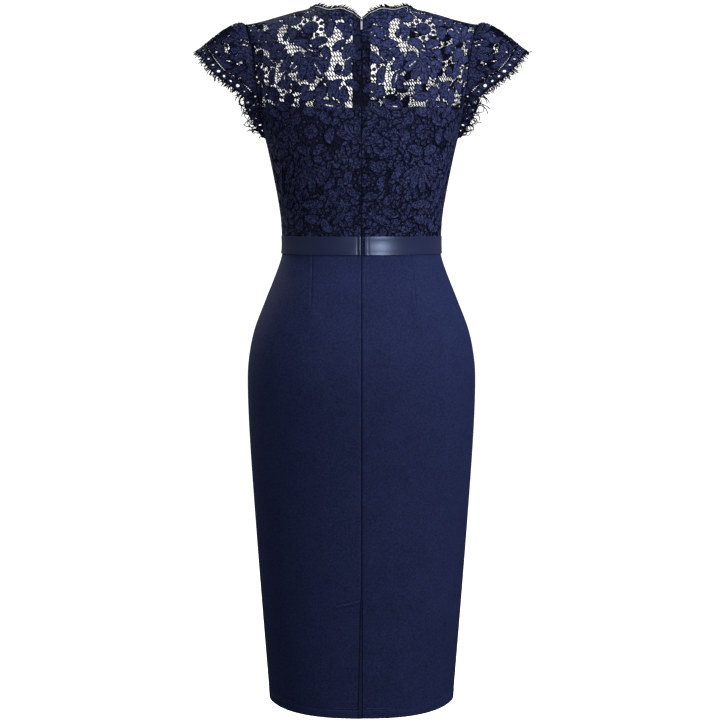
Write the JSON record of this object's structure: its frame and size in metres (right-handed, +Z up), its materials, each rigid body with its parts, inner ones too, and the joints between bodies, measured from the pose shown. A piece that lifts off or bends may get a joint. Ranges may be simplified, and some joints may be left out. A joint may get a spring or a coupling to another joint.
{
  "type": "cocktail dress",
  "caption": "Knee-length dress in its worn, hollow shape: sheer lace yoke with cap sleeves over a lined lower bodice, satin waist ribbon, back zip, and a close skirt with a back vent.",
  "frame": {"origin": "between the shoulders, level with the points where the shoulder seams meet the neckline, in the plane through the side seams", "axes": "+Z up along the body, +Y out of the back, where the zip and the vent are, +X towards the wearer's left"},
  "size_m": [0.4988, 0.2509, 1.0246],
  "materials": {
    "skirt_knit": "matte double knit, fine vertical grain",
    "lace": "matte corded cotton lace on a fine net",
    "lining": "matte plain lining",
    "satin": "satin ribbon with a soft sheen",
    "fringe": "matte loose thread ends",
    "zip_tape": "matte woven tape",
    "zip_metal": "satin enamel"
  },
  "bodies": {
    "dress": {"skirt_front": "skirt_knit", "skirt_back_left": "skirt_knit", "skirt_back_right": "skirt_knit", "bodice_front_lace": "lace", "bodice_back_lace_left": "lace", "bodice_back_lace_right": "lace", "lining_front": "lining", "lining_back_left": "lining", "lining_back_right": "lining", "waist_ribbon": "satin", "sleeve_left": "lace", "sleeve_right": "lace", "sleeve_fringe_left": "fringe", "sleeve_fringe_right": "fringe", "neck_fringe_back_left": "fringe", "neck_fringe_back_right": "fringe", "neck_fringe_front": "fringe", "zip_tape_left": "zip_tape", "zip_tape_right": "zip_tape", "zip_slider": "zip_metal"},
    "pull_tab": {"zip_pull": "zip_metal"}
  },
  "joints": [
    {"name": "pull_tab_hinge", "type": "hinge", "parent": "dress", "child": "pull_tab", "pos_m": [0, 0.08971, -0.03089], "axis": [1, 0, 0], "range_deg": [0, 160]}
  ]
}
